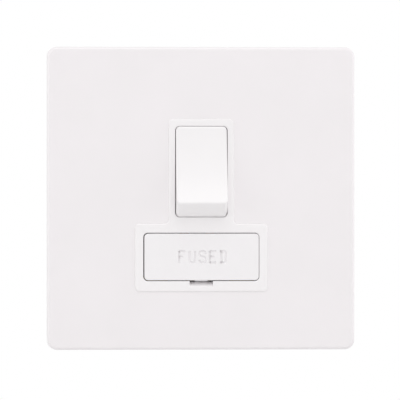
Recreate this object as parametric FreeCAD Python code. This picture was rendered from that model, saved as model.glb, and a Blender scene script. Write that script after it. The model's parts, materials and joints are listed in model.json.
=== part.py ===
"""Switched fused spur unit for a British flush wall box, with a screwless cover plate.

Millimetres. X runs to the right as one faces the wall, Z up, and Y into the wall. The wall plane is y = 0 and
the origin lies midway between the two fixing slots. The front moulding carries a T-shaped insert that shows
through the cover plate, with the rocker in its stem and the fuse drawer in its bar. Behind the wall plane a
rear housing holds six wire terminals, two switched poles and the two clips that the fuse slides into.
The rocker is drawn in its off position, top pressed in, and the fuse drawer shut.
"""

import FreeCAD, Part
import math
import os

Vector = FreeCAD.Vector

# Cover plate: a shell with rounded front edges, held by four hooks.
plate_width = 91.6
plate_height = 90.0
plate_projection = 4.5        # from the wall to the plate's front face
plate_wall = 1.6              # front wall
skirt_wall = 1.4              # side walls
plate_corner_radius = 2.9
plate_edge_radius = 0.9
pry_slot_width = 7.0          # for a screwdriver, in the lower rim
pry_slot_height = 1.0

# Rocker: its two ends follow one circle about the pivot, and its face is dished between two ridges.
rocker_width = 15.2
rocker_gap = 0.2              # all round, between the rocker and its well
rocker_radius = 15.2
rocker_z = 7.93
rocker_pivot_depth = 7.3      # from the insert's front to the pivot
rocker_half_travel = 11.5     # degrees to each side of level
rocker_ridge_angle = 40.4     # degrees from the pivot line up to each ridge, with the rocker level
rocker_dish_radius = 77.0
rocker_wall = 1.5
rocker_rim_radius = 1.0
rocker_rim_flats = 2          # the rim's quarter round is this many cones
trunnion_radius = 1.5
trunnion_clearance = 0.05
cheek_wall = 1.6
cheek_half_height = 4.2

# Fuse drawer, which slides straight out.
carrier_width = 34.2
carrier_height = 13.95
carrier_gap = 0.2             # all round, between the drawer's face and its aperture
carrier_face = 2.2
carrier_corner_radius = 1.2
carrier_travel = 13.0
rail_wall = 1.6
rail_height = 9.0
stop_lug_length = 1.5
stop_lug_height = 3.6
stop_lug_overhang = 0.9
slide_clearance = 0.3
cradle_width = 12.6
cradle_wall = 1.3
tongue_width = 3.9            # latch under the drawer's face, seen in the pry notch
tongue_drop = 0.3
tongue_depth = 1.2

# Insert: what surrounds the two apertures, and how far it stands out of the plate.
insert_proud = 0.3
insert_gap = 0.03             # between the insert and the plate's aperture
stem_rim = 1.9
stem_rim_top = 2.09
bridge = 4.62                 # between the rocker's well and the drawer's aperture
bar_rim_side = 2.5
bar_rim_top = 2.64
bar_rim_bottom = 3.18
insert_corner_radius = 1.3
insert_inner_radius = 1.4
well_corner_radius = 1.4
well_mouth_depth = 0.2        # how deep the well's corners stay round
notch_width = 7.0             # screwdriver notch under the drawer
notch_height = 1.45
notch_depth = 1.9
notch_slot = 0.25

# Moulded frame round the insert, behind the plate.
frame_thickness = 2.4
hook_space = 2.45             # between the plate's skirt and the frame's edge
frame_corner_radius = 3.0
frame_recess = 1.2
frame_border = 1.6
fixing_centres = 60.3
fixing_slot_width = 4.0
fixing_slot_length = 6.5
fixing_head_width = 7.4
fixing_head_depth = 1.2
fixing_boss_radius = 6.4

# Cover plate hooks, two along the top edge and two along the bottom.
hook_width = 8.0
hook_wall = 1.2
hook_catch = 0.5
hook_gap = 0.15
hook_x = 22.0
catch_depth = 1.1

# Rear housing and the two screws that hold it to the front moulding.
housing_width = 48.0
housing_corner_chamfer = 1.8
housing_end_wall = 1.0
housing_rear_wall = 5.15      # behind the terminal blocks
housing_edge_chamfer = 0.8
fit_clearance = 0.1
post_width = 6.0
post_length = 6.0
assembly_x = 14.5
assembly_z = 5.0
assembly_shank_radius = 1.45
assembly_head_radius = 2.6
assembly_head_height = 1.6
assembly_head_sunk = 0.8

# Switch poles: a rocking contact on a cradle, tipped by a sprung plunger in the rocker.
pole_x = 3.9
plunger_reach = 8.2           # from the pivot to the plunger's tip
plunger_radius = 1.5
plunger_nose_width = 0.9      # how far in, and how far along, the nose's chamfer goes
plunger_nose_length = 0.45
plunger_length = 6.6
plunger_clearance = 0.08
socket_wall = 0.72
socket_reach = 5.8            # from the pivot to the socket's open end
socket_depth = 10.8
tip_gap = 0.1                 # between contact faces
plunger_gap = 0.2             # between a plunger's tip and its rocking contact, both level
seesaw_width = 4.4
seesaw_thickness = 0.9
seesaw_half_length = 11.0
seesaw_half_travel = 9.0      # degrees
seesaw_boss_radius = 1.2
seesaw_boss_clearance = 0.06
contact_reach = 9.5           # from the cradle to the silver contacts
contact_width = 2.8
contact_height = 0.85
lane_above_contact = 1.2      # from the silver contacts' centres up to the supply straps' cross lanes
spring_wire = 0.45
spring_turns = 4.5
spring_flats = 8              # straight stretches a turn
pole_barrier = 0.6            # half the wall between the poles

# Copper straps, all in one layer.
strap_thickness = 0.8
strap_width = 3.0
strap_clearance = 0.2
strap_seat = 1.2              # how far a strap's end goes into its terminal block

# Terminals: brass blocks with a wire bore and a clamping screw.
block_width = 7.6
block_height = 7.8
block_depth = 8.0
block_rear_step = 0.6
terminal_pitch = 13.0
wire_bore_radius = 2.1
wire_bore_wall = 1.1
wire_entry_width = 5.4
terminal_screw_radius = 1.75
terminal_screw_clearance = 0.05
terminal_screw_sunk = 0.6
screw_slot_width = 0.9
screw_slot_depth = 1.0
access_width = 4.4
hold_down_clearance = 0.1
hold_down_width = 5.0

# Cartridge fuse and its clips.
fuse_length = 25.4
fuse_cap_radius = 3.15
fuse_cap_length = 5.6
fuse_cap_wall = 0.22
fuse_cap_end = 0.5
fuse_cap_clearance = 0.02
fuse_behind_face = 0.35
clip_width = 4.5
clip_thickness = 0.8
clip_clearance = 0.12
clip_flare = 0.7
clip_behind_cradle = 0.35
clip_leg_width = 3.4

# Levels and places that follow from the sizes above.
plate_front = -plate_projection
plate_back = plate_front + plate_wall
insert_front = plate_front - insert_proud
frame_front = -frame_thickness
pivot_y = insert_front + rocker_pivot_depth
well_radius = rocker_radius + rocker_gap
well_half_width = rocker_width / 2 + rocker_gap
well_half_height = math.sqrt(well_radius ** 2 - rocker_pivot_depth ** 2)
carrier_window_width = carrier_width + 2 * carrier_gap
carrier_window_height = carrier_height + 2 * carrier_gap
carrier_z = rocker_z - well_half_height - bridge - carrier_window_height / 2
stem_width = 2 * (well_half_width + stem_rim)
stem_top = rocker_z + well_half_height + stem_rim_top
bar_width = carrier_window_width + 2 * bar_rim_side
bar_top = carrier_z + carrier_window_height / 2 + bar_rim_top
bar_bottom = carrier_z - carrier_window_height / 2 - bar_rim_bottom
frame_width = plate_width - 2 * (skirt_wall + hook_space)
frame_height = plate_height - 2 * (skirt_wall + hook_space)

carrier_face_back = insert_front + carrier_face
fuse_y = carrier_face_back + fuse_behind_face + fuse_cap_radius
tube_radius = fuse_cap_radius - fuse_cap_wall - fuse_cap_clearance
cradle_radius = tube_radius + fit_clearance
cradle_back = fuse_y + cradle_radius + cradle_wall
clip_base_front = cradle_back + clip_behind_cradle
chamber_floor = clip_base_front + clip_thickness
rail_back = carrier_travel + fit_clearance + stop_lug_length
rail_outer = carrier_width / 2 - fit_clearance
clip_x = fuse_length / 2 - fuse_cap_length / 2

seesaw_front = pivot_y + plunger_reach + plunger_gap
seesaw_axis_y = seesaw_front + seesaw_thickness
closed_wing_back = seesaw_axis_y + seesaw_thickness * (1 - math.cos(math.radians(seesaw_half_travel)))
moving_contact_back = closed_wing_back + contact_height
fixed_contact_front = moving_contact_back + tip_gap
strap_front = fixed_contact_front + contact_height
strap_back = strap_front + strap_thickness
block_back = strap_back + block_rear_step
block_front = block_back - block_depth
housing_depth = block_back + housing_rear_wall
bore_y = block_front + wire_bore_wall + wire_bore_radius
upper_row_z = rocker_z + rocker_radius + block_height / 2
lower_row_z = carrier_z - rail_height / 2 - fit_clearance - 1.2 - block_height / 2
housing_top = upper_row_z + block_height / 2 + housing_end_wall
housing_bottom = lower_row_z - block_height / 2 - housing_end_wall
terminal_screw_back = housing_depth - terminal_screw_sunk
well_floor = pivot_y + rocker_radius * math.sin(math.radians(rocker_half_travel)) + slide_clearance
seesaw_reach = seesaw_half_length + 0.5

AXIS_X = Vector(1, 0, 0)
AXIS_Y = Vector(0, 1, 0)
AXIS_Z = Vector(0, 0, 1)


def box(x0, x1, y0, y1, z0, z1):
    """A block between two corners."""
    return Part.makeBox(x1 - x0, y1 - y0, z1 - z0, Vector(x0, y0, z0))


def rod(radius, start, end):
    """A cylinder from one point to another."""
    along = end - start
    return Part.makeCylinder(radius, along.Length, start, along)


def prism(points, depth):
    """A polygon of 3-D points pushed along a vector."""
    return Part.Face(Part.makePolygon(points + points[:1])).extrude(depth)


def joined(*shapes):
    """One solid from several that touch."""
    first, *rest = shapes
    return first.multiFuse(rest).removeSplitter() if rest else first


def is_along(edge, axis):
    """True for a straight edge that runs along an axis."""
    return isinstance(edge.Curve, Part.Line) and abs(edge.Curve.Direction.dot(axis)) > 0.9999


def rounded(shape, radius, picked):
    """The shape with the edges that the test picks rounded."""
    return shape.makeFillet(radius, [edge for edge in shape.Edges if picked(edge)])


def chamfered(shape, size, picked):
    """The shape with the edges that the test picks chamfered."""
    return shape.makeChamfer(size, [edge for edge in shape.Edges if picked(edge)])


def slab(width, height, radius, y0, y1, x=0.0, z=0.0):
    """A plate facing Y, with its four corners rounded."""
    block = box(x - width / 2, x + width / 2, y0, y1, z - height / 2, z + height / 2)
    return rounded(block, radius, lambda edge: is_along(edge, AXIS_Y))


def turned(shape, degrees, y, z):
    """The shape turned about an axis along X."""
    copy = shape.copy()
    copy.rotate(Vector(0, y, z), AXIS_X, degrees)
    return copy


def tee(grow, y0, y1):
    """The insert's inverted T, grown all round, between two levels."""
    stem, bar = stem_width / 2 + grow, bar_width / 2 + grow
    top, shoulder, bottom = stem_top + grow, bar_top + grow, bar_bottom - grow
    right = [(bar, bottom), (bar, shoulder), (stem, shoulder), (stem, top)]
    left = [(-x, z) for x, z in reversed(right)]
    points = [Vector(x, y0, z) for x, z in right + left]
    solid = prism(points, Vector(0, y1 - y0, 0))

    def inner(edge):
        centre = edge.CenterOfMass
        return (is_along(edge, AXIS_Y) and abs(abs(centre.x) - stem) < 0.01
                and abs(centre.z - shoulder) < 0.01)

    solid = rounded(solid, insert_inner_radius - grow, inner)
    return rounded(solid, insert_corner_radius + grow, lambda edge: is_along(edge, AXIS_Y) and not any(
        abs(abs(vertex.X) - stem) < insert_inner_radius and abs(vertex.Z - shoulder) < insert_inner_radius
        for vertex in edge.Vertexes))


def pivot_disc(radius, width):
    """A disc about the rocker's pivot."""
    return rod(radius, Vector(-width / 2, pivot_y, rocker_z), Vector(width / 2, pivot_y, rocker_z))


def rimmed_disc():
    """The disc that the rocker is cut from, its rims rounded by a few cones each."""
    half = rocker_width / 2
    inner_radius, inner_half = rocker_radius - rocker_rim_radius, half - rocker_rim_radius
    steps = [math.pi / 2 * step / rocker_rim_flats for step in range(rocker_rim_flats + 1)]
    rim = [(inner_half + rocker_rim_radius * math.sin(angle),
            inner_radius + rocker_rim_radius * math.cos(angle)) for angle in steps]
    profile = [(-x, radius) for x, radius in reversed(rim)] + rim + [(half, 0), (-half, 0)]
    points = [Vector(x, pivot_y, rocker_z + radius) for x, radius in profile]
    face = Part.Face(Part.makePolygon(points + points[:1]))
    return face.revolve(Vector(0, pivot_y, rocker_z), AXIS_X, 360)


def rocker_well():
    """The well that the rocker turns in: a disc whose corners are round at its mouth."""
    width, height = 2 * well_half_width, 2 * well_half_height
    mouth_back = insert_front + well_mouth_depth
    mouth = slab(width, height, well_corner_radius, insert_front - 1, mouth_back + 0.01, 0, rocker_z)
    behind = box(-width, width, mouth_back, 2 * well_radius, rocker_z - 2 * height, rocker_z + 2 * height)
    disc = pivot_disc(well_radius, width)
    return disc.common(behind).fuse(mouth.common(disc.fuse(mouth)))


def hook_places():
    """The plate's hooks: x, and 1 for the top edge or -1 for the bottom."""
    return [(x, side) for x in (-hook_x, hook_x) for side in (1, -1)]


def cover_plate():
    """Shell with rounded front edges, a T aperture, hooks, spacer ribs and a pry slot."""
    outer = slab(plate_width, plate_height, plate_corner_radius, plate_front, 0)
    outer = rounded(outer, plate_edge_radius, lambda edge: edge.BoundBox.YMax < plate_front + 0.01)
    inner_x, inner_z = plate_width / 2 - skirt_wall, plate_height / 2 - skirt_wall
    inner = box(-inner_x, inner_x, plate_back, 1, -inner_z, inner_z)
    shell = outer.cut(inner).cut(tee(insert_gap, plate_front - 1, plate_back + 1))
    pry_half = pry_slot_width / 2
    shell = shell.cut(box(-pry_half, pry_half, -pry_slot_height, 1, -plate_height, -inner_z))
    hooks = []
    for x, side in hook_places():
        leaf = frame_height / 2 + hook_gap
        profile = [
            (plate_back - 0.1, leaf), (-catch_depth + hook_gap, leaf),
            (-catch_depth + hook_gap, leaf - hook_gap - hook_catch), (-0.6, leaf - hook_gap - hook_catch),
            (-0.2, leaf), (-0.2, leaf + hook_wall), (plate_back - 0.1, leaf + hook_wall)]
        points = [Vector(x - hook_width / 2, y, side * z) for y, z in profile]
        hooks.append(prism(points, Vector(hook_width, 0, 0)))
    ribs = []
    for x in (-1, 1):
        for z in (-1, 1):
            rib_x, rib_z = x * (frame_width / 2 - 3), z * (frame_height / 2 - 12)
            ribs.append(box(rib_x - 0.6, rib_x + 0.6, plate_back - 0.1, frame_front, rib_z - 5, rib_z + 5))
    return joined(shell, *hooks, *ribs)


def frame_plate():
    """The flat frame: rear recesses between ribs, fixing slots, and steps for the plate's hooks."""
    frame = slab(frame_width, frame_height, frame_corner_radius, frame_front, 0)
    inner_x = housing_width / 2 + frame_border
    outer_x = frame_width / 2 - frame_border
    top = frame_height / 2 - frame_border
    rib_half = frame_border / 2
    low = fixing_boss_radius + frame_border
    middle = (low + top - catch_depth) / 2
    for side in (-1, 1):
        for z0, z1 in ((low, middle - rib_half), (middle + rib_half, top)):
            for up in (-1, 1):
                x_low, x_high = sorted((side * inner_x, side * outer_x))
                z_low, z_high = sorted((up * z0, up * z1))
                frame = frame.cut(box(x_low, x_high, -frame_recess, 1, z_low, z_high))
        centre = side * fixing_centres / 2
        straight = (fixing_slot_length - fixing_slot_width) / 2
        frame = frame.cut(slot_prism(centre, straight, fixing_slot_width / 2, frame_front - 1, 1))
        head_half, head_length = fixing_head_width / 2, straight + fixing_head_width / 2
        frame = frame.cut(box(centre - head_length, centre + head_length, frame_front - 1,
                              frame_front + fixing_head_depth, -head_half, head_half))
    for x, side in hook_places():
        edge = side * frame_height / 2
        inside = edge - side * (hook_catch + 2 * hook_gap)
        half = hook_width / 2 + slide_clearance
        low, high = sorted((edge, inside))
        frame = frame.cut(box(x - half, x + half, -catch_depth, 1, low, high))
    return frame


def slot_prism(centre, straight, radius, y0, y1):
    """An oblong along X, with round ends."""
    ends = [rod(radius, Vector(centre + x, y0, 0), Vector(centre + x, y1, 0)) for x in (-straight, straight)]
    return joined(box(centre - straight, centre + straight, y0, y1, -radius, radius), *ends)


def carrier_window(grow, y0, y1):
    """The drawer's aperture between two levels."""
    return slab(carrier_window_width + 2 * grow, carrier_window_height + 2 * grow,
                carrier_corner_radius + carrier_gap + grow, y0, y1, 0, carrier_z)


def pry_notch():
    """The ramp under the drawer that a screwdriver enters, and the slot at its deep end."""
    edge = carrier_z - carrier_window_height / 2
    half = notch_width / 2
    ramp = [(insert_front - 1, edge - notch_slot - notch_height),
            (insert_front, edge - notch_slot - notch_height),
            (insert_front + notch_depth, edge - notch_slot), (insert_front + notch_depth, edge + 1),
            (insert_front - 1, edge + 1)]
    points = [Vector(-half, y, z) for y, z in ramp]
    slot = box(-half, half, insert_front, -0.8, edge - notch_slot, edge + 1)
    return joined(prism(points, Vector(notch_width, 0, 0)), slot)


def terminals():
    """The six terminals: name, x, z and 1 for the upper row or -1 for the lower."""
    return [
        ("supply_neutral", -terminal_pitch, upper_row_z, 1),
        ("supply_live", 0.0, upper_row_z, 1),
        ("supply_earth", terminal_pitch, upper_row_z, 1),
        ("load_live", -terminal_pitch, lower_row_z, -1),
        ("load_neutral", 0.0, lower_row_z, -1),
        ("load_earth", terminal_pitch, lower_row_z, -1),
    ]


def assembly_places():
    """Where the housing screws stand."""
    return [(-assembly_x, assembly_z), (assembly_x, assembly_z)]


def front_moulding():
    """Frame, T insert, rocker cheeks, screw posts and hold-down posts in one moulding."""
    cheeks = []
    for side in (-1, 1):
        inner = side * well_half_width
        outer = side * (well_half_width + cheek_wall)
        x0, x1 = sorted((inner, outer))
        cheeks.append(box(x0, x1, -0.5, pivot_y + cheek_half_height,
                          rocker_z - cheek_half_height, rocker_z + cheek_half_height))
    half = post_width / 2
    posts = [box(x - half, x + half, -0.5, post_length, z - half, z + half) for x, z in assembly_places()]
    holds = []
    hold_back = block_front - hold_down_clearance
    for name, x, z, row in terminals():
        half = hold_down_width / 2
        outward = z + row * (block_height - hold_down_width) / 2
        holds.append(box(x - half, x + half, -0.5, hold_back, outward - half, outward + half))
    solid = joined(frame_plate(), tee(0, insert_front, 0), *cheeks, *posts, *holds)
    solid = solid.cut(rocker_well())
    solid = solid.cut(carrier_window(0, insert_front - 1, 1)).cut(pry_notch())
    pivot_hole = trunnion_radius + trunnion_clearance
    reach = well_half_width + cheek_wall + 1
    solid = solid.cut(rod(pivot_hole, Vector(-reach, pivot_y, rocker_z), Vector(reach, pivot_y, rocker_z)))
    for x, z in assembly_places():
        pilot = assembly_shank_radius + 0.03
        solid = solid.cut(rod(pilot, Vector(x, frame_front + 0.8, z), Vector(x, post_length + 1, z)))
    return solid


def level_rocker():
    """The rocker with both ridges at one height: a hollow cap with trunnions and plunger sockets."""
    half = rocker_width / 2
    ridge = math.radians(rocker_ridge_angle)
    ridge_z, ridge_y = rocker_radius * math.cos(ridge), pivot_y - rocker_radius * math.sin(ridge)
    sag = rocker_dish_radius - math.sqrt(rocker_dish_radius ** 2 - ridge_z ** 2)
    dish_y = ridge_y + sag - rocker_dish_radius
    disc = rimmed_disc()
    rear = box(-half - 1, half + 1, pivot_y, pivot_y + 2 * rocker_radius, rocker_z - 2 * rocker_radius,
               rocker_z + 2 * rocker_radius)
    dish = rod(rocker_dish_radius, Vector(-half - 1, dish_y, rocker_z), Vector(half + 1, dish_y, rocker_z))
    cap = disc.cut(rear).cut(dish)
    hollow = rod(rocker_radius - rocker_wall, Vector(rocker_wall - half, pivot_y, rocker_z),
                 Vector(half - rocker_wall, pivot_y, rocker_z))
    inner_dish = rod(rocker_dish_radius + rocker_wall, Vector(-half - 1, dish_y, rocker_z),
                     Vector(half + 1, dish_y, rocker_z))
    cap = cap.cut(hollow.cut(inner_dish))
    additions, bores = [], []
    for side in (-1, 1):
        x = side * pole_x
        face = ridge_y + sag + rocker_wall - 0.3
        around = plunger_radius + plunger_clearance + socket_wall
        mouth = pivot_y + socket_reach
        additions.append(box(x - around, x + around, face, mouth, rocker_z - around, rocker_z + around))
        bores.append(rod(plunger_radius + plunger_clearance, Vector(x, mouth - socket_depth, rocker_z),
                         Vector(x, mouth + 1, rocker_z)))
        end = well_half_width + cheek_wall - 0.1
        additions.append(rod(trunnion_radius, Vector(side * (half - 0.5), pivot_y, rocker_z),
                             Vector(side * end, pivot_y, rocker_z)))
    cap = joined(cap, *additions)
    for bore in bores:
        cap = cap.cut(bore)
    return cap


def level_plunger(x):
    """A round-nosed pin in its socket."""
    tip = pivot_y + plunger_reach
    nose = tip - plunger_nose_length
    pin = rod(plunger_radius, Vector(x, tip - plunger_length, rocker_z), Vector(x, nose, rocker_z))
    cone = Part.makeCone(plunger_radius, plunger_radius - plunger_nose_width, plunger_nose_length,
                         Vector(x, nose, rocker_z), AXIS_Y)
    return joined(pin, cone)


def level_spring(x):
    """A coil of square wire in short straight stretches, from the socket's blind end to the plunger."""
    start = pivot_y + socket_reach - socket_depth
    length = pivot_y + plunger_reach - plunger_length - start - spring_wire
    half = spring_wire / 2
    mean = plunger_radius - half
    count = round(spring_turns * spring_flats)
    rings = []
    for step in range(count + 1):
        angle = 2 * math.pi * step / spring_flats
        along = start + half + length * step / count
        rings.append([Vector(x + (mean + out) * math.cos(angle), along + up,
                             rocker_z + (mean + out) * math.sin(angle))
                      for out, up in ((-half, -half), (half, -half), (half, half), (-half, half))])
    faces = [Part.Face(Part.makePolygon(ring + ring[:1])) for ring in (rings[0], rings[-1])]
    for near, far in zip(rings, rings[1:]):
        for side in range(4):
            after = (side + 1) % 4
            for corners in ((near[side], near[after], far[after]), (near[side], far[after], far[side])):
                faces.append(Part.Face(Part.makePolygon(list(corners) + [corners[0]])))
    return Part.Solid(Part.Shell(faces))


def level_seesaw(x):
    """A strip bent to a shallow V, with a round boss across its back, level on its cradle."""
    slope = math.radians(seesaw_half_travel)
    along = Vector(0, -math.sin(slope), math.cos(slope))
    across = Vector(0, math.cos(slope), math.sin(slope))
    centre = Vector(x - seesaw_width / 2, seesaw_front, rocker_z)
    end = along * seesaw_half_length
    wing = [Vector(0, 0, 0), end, end + across * seesaw_thickness]
    root = Vector(0, seesaw_thickness / math.cos(slope), 0)
    upper = prism([centre + point for point in wing + [root]], Vector(seesaw_width, 0, 0))
    lower = upper.mirror(Vector(0, 0, rocker_z), AXIS_Z)
    boss = rod(seesaw_boss_radius, Vector(x - seesaw_width / 2, seesaw_axis_y, rocker_z),
               Vector(x + seesaw_width / 2, seesaw_axis_y, rocker_z))
    front = box(x - seesaw_width, x + seesaw_width, seesaw_axis_y - 5, seesaw_axis_y,
                rocker_z - 5, rocker_z + 5)
    return joined(upper, lower, boss.cut(front))


def contact_tile(x, y0, y1):
    """A square silver tile on the line of the contacts."""
    half, z = contact_width / 2, rocker_z + contact_reach
    return box(x - half, x + half, y0, y1, z - half, z + half)


def strap(points):
    """A flat strap in the strap layer, from a list of x, z corners."""
    return prism([Vector(x, strap_front, z) for x, z in points], Vector(0, strap_thickness, 0))


def strap_outlines(grow=0.0):
    """Corner lists of the straps in X and Z, grown all round for the housing's channels."""
    half = strap_width / 2 + grow
    block_lower = upper_row_z - block_height / 2 + strap_seat
    block_upper = lower_row_z + block_height / 2 - strap_seat
    contact_z = rocker_z + contact_reach
    foot = contact_z - contact_width / 2 - 0.3 - grow
    lane_low = contact_z + lane_above_contact - grow
    lane_high = contact_z + lane_above_contact + strap_width + grow
    live_lane = strap_width / 2
    clip_z = carrier_z - half
    neutral_lane = -strap_width / 2
    block_side = terminal_pitch + block_width / 2 - strap_seat
    link_in = rail_outer + stop_lug_overhang + slide_clearance + 1.0 - grow
    link_out = link_in + strap_width * 0.75 + 2 * grow
    cradle_top = rocker_z + 2.2 + grow
    return {
        "supply_live_strap": [
            (pole_x - half, foot), (pole_x + half, foot), (pole_x + half, lane_high),
            (live_lane + half, lane_high), (live_lane + half, block_lower), (live_lane - half, block_lower),
            (live_lane - half, lane_low), (pole_x - half, lane_low)],
        "supply_neutral_strap": [
            (-pole_x + half, foot), (-pole_x - half, foot), (-pole_x - half, lane_low),
            (-terminal_pitch - half, lane_low), (-terminal_pitch - half, block_lower),
            (-terminal_pitch + half, block_lower), (-terminal_pitch + half, lane_high),
            (-pole_x + half, lane_high)],
        "live_centre_contact": [
            (pole_x - half, cradle_top), (pole_x + half, cradle_top), (pole_x + half, carrier_z + half),
            (clip_x + half, carrier_z + half), (clip_x + half, clip_z), (pole_x - half, clip_z)],
        "neutral_centre_contact": [
            (-pole_x - half, cradle_top), (-pole_x + half, cradle_top), (-pole_x + half, carrier_z + half),
            (neutral_lane + half, carrier_z + half), (neutral_lane + half, block_upper),
            (neutral_lane - half, block_upper), (neutral_lane - half, carrier_z - half),
            (-pole_x - half, carrier_z - half)],
        "load_live_strap": [
            (-clip_x - half, carrier_z + half), (-clip_x + half, carrier_z + half),
            (-clip_x + half, block_upper), (-clip_x - half, block_upper)],
        "earth_strap": [
            (block_side, upper_row_z + half), (link_out, upper_row_z + half),
            (link_out, lower_row_z - half), (block_side, lower_row_z - half),
            (block_side, lower_row_z + half), (link_in, lower_row_z + half),
            (link_in, upper_row_z - half), (block_side, upper_row_z - half)],
    }


def cradle(x):
    """The trough that a rocking contact sits in."""
    seat = seesaw_boss_radius + seesaw_boss_clearance
    block = box(x - strap_width / 2, x + strap_width / 2, seesaw_axis_y + 0.45, strap_front,
                rocker_z - seat - 0.7, rocker_z + seat + 0.7)
    return block.cut(rod(seat, Vector(x - 5, seesaw_axis_y, rocker_z),
                         Vector(x + 5, seesaw_axis_y, rocker_z)))


def straps():
    """Every strap by name, the two centre contacts with their cradles."""
    made = {name: strap(points) for name, points in strap_outlines().items()}
    for name, side in (("live_centre_contact", 1), ("neutral_centre_contact", -1)):
        made[name] = joined(made[name], cradle(side * pole_x))
    return made


def terminal_block(x, z):
    """A brass block bored for the wire along Z and drilled for the screw along Y, slotted for its strap."""
    half_x, half_z = block_width / 2, block_height / 2
    block = box(x - half_x, x + half_x, block_front, block_back, z - half_z, z + half_z)
    bottom, top = z - half_z - 1, z + half_z + 1
    block = block.cut(rod(wire_bore_radius, Vector(x, bore_y, bottom), Vector(x, bore_y, top)))
    return block.cut(rod(terminal_screw_radius, Vector(x, bore_y, z), Vector(x, block_back + 1, z)))


def terminal_screw(x, z):
    """A slotted grub screw, backed out so that its tip is clear of the wire bore."""
    tip = bore_y + wire_bore_radius + 0.2
    radius = terminal_screw_radius - terminal_screw_clearance
    shank = rod(radius, Vector(x, tip, z), Vector(x, terminal_screw_back, z))
    half = screw_slot_width / 2
    return shank.cut(box(x - 5, x + 5, terminal_screw_back - screw_slot_depth, terminal_screw_back + 1,
                         z - half, z + half))


def assembly_screw(x, z):
    """A cheese-head screw with a crossed recess, from the housing's back into the front moulding's post."""
    head_back = housing_depth - assembly_head_sunk
    head_front = head_back - assembly_head_height
    shank = rod(assembly_shank_radius, Vector(x, frame_front + 1.4, z), Vector(x, head_front + 0.1, z))
    head = rod(assembly_head_radius, Vector(x, head_front, z), Vector(x, head_back, z))
    half = screw_slot_width / 2
    recess = [box(x - 1.4, x + 1.4, head_back - screw_slot_depth, head_back + 1, z - half, z + half),
              box(x - half, x + half, head_back - screw_slot_depth, head_back + 1, z - 1.4, z + 1.4)]
    return joined(shank, head).cut(joined(*recess))


def rear_housing():
    """A block with a switch cavity, a drawer chamber, strap channels and terminal pockets."""
    half = housing_width / 2
    solid = box(-half, half, 0, housing_depth, housing_bottom, housing_top)
    solid = chamfered(solid, housing_corner_chamfer, lambda edge: is_along(edge, AXIS_Y))
    solid = chamfered(solid, housing_edge_chamfer, lambda edge: edge.BoundBox.YMin > housing_depth - 0.01)
    well = rocker_radius + rocker_gap + slide_clearance
    cheek = well_half_width + cheek_wall + slide_clearance
    deep = pole_x + seesaw_width / 2 + 1.1
    outer, window = carrier_window_width / 2, carrier_window_height / 2
    cavities = [
        box(-cheek, cheek, -1, well_floor, rocker_z - well, rocker_z + well),
        box(-deep, deep, -1, strap_front, rocker_z - seesaw_reach, rocker_z + seesaw_reach),
        box(-outer, outer, -1, chamber_floor, carrier_z - window, carrier_z + window),
    ]
    nose = cheek_half_height + slide_clearance
    for side in (-1, 1):
        x0, x1 = sorted((side * (well_half_width - slide_clearance), side * cheek))
        cavities.append(box(x0, x1, -1, pivot_y + nose, rocker_z - nose, rocker_z + nose))
    rail_slot = rail_height / 2 + fit_clearance
    lug_slot = stop_lug_height / 2 + slide_clearance
    groove = rail_outer + stop_lug_overhang + slide_clearance
    inner = rail_outer - rail_wall - slide_clearance
    rear = rail_back + slide_clearance
    for side in (-1, 1):
        x0, x1 = sorted((side * inner, side * outer))
        cavities.append(box(x0, x1, -1, rear, carrier_z - rail_slot, carrier_z + rail_slot))
        x0, x1 = sorted((side * inner, side * groove))
        cavities.append(box(x0, x1, -1, rear, carrier_z - lug_slot, carrier_z + lug_slot))
        leg_half = clip_leg_width / 2 + strap_clearance
        x = side * clip_x
        cavities.append(box(x - leg_half, x + leg_half, -1, strap_back, carrier_z - 0.6, carrier_z + 0.6))
    for points in strap_outlines(strap_clearance).values():
        cavities.append(prism([Vector(x, -1, z) for x, z in points], Vector(0, 1 + strap_back, 0)))
    for name, x, z, row in terminals():
        half_x, half_z = block_width / 2 + fit_clearance, block_height / 2 + fit_clearance
        cavities.append(box(x - half_x, x + half_x, -1, block_back, z - half_z, z + half_z))
        low, high = sorted((z, housing_top + 1 if row > 0 else housing_bottom - 1))
        entry = wire_entry_width / 2
        cavities.append(box(x - entry, x + entry, bore_y - entry, bore_y + entry, low, high))
        access = access_width / 2
        cavities.append(box(x - access, x + access, block_back - 0.5, housing_depth + 1,
                            z - access, z + access))
    for x, z in assembly_places():
        socket = post_width / 2 + fit_clearance
        cavities.append(box(x - socket, x + socket, -1, post_length + 0.2, z - socket, z + socket))
        hole = assembly_shank_radius + fit_clearance
        cavities.append(rod(hole, Vector(x, 0, z), Vector(x, housing_depth, z)))
        seat = housing_depth - assembly_head_sunk - assembly_head_height
        head = assembly_head_radius + slide_clearance
        cavities.append(box(x - head, x + head, seat, housing_depth + 1, z - head, z + head))
    for cavity in cavities:
        solid = solid.cut(cavity)
    barrier_front = pivot_y + socket_reach
    barrier = box(-pole_barrier, pole_barrier, barrier_front, strap_back + 0.5, rocker_z - seesaw_reach - 0.2,
                  rocker_z + contact_reach + lane_above_contact - strap_clearance)
    rests = []
    for side in (-1, 1):
        x = side * pole_x
        rest_front = seesaw_front + seesaw_thickness + tip_gap
        rest_z = rocker_z - seesaw_half_length
        x0, x1 = sorted((side * (strap_width / 2 + strap_clearance + pole_x), side * (deep + 0.2)))
        rests.append(box(x0, x1, rest_front, strap_back, rest_z - 0.7, rest_z + 2.0))
    return joined(solid, barrier, *rests)


def fuse_tube():
    """The fuse's ceramic tube."""
    half = fuse_length / 2 - fuse_cap_end
    return rod(tube_radius, Vector(-half, fuse_y, carrier_z), Vector(half, fuse_y, carrier_z))


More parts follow.
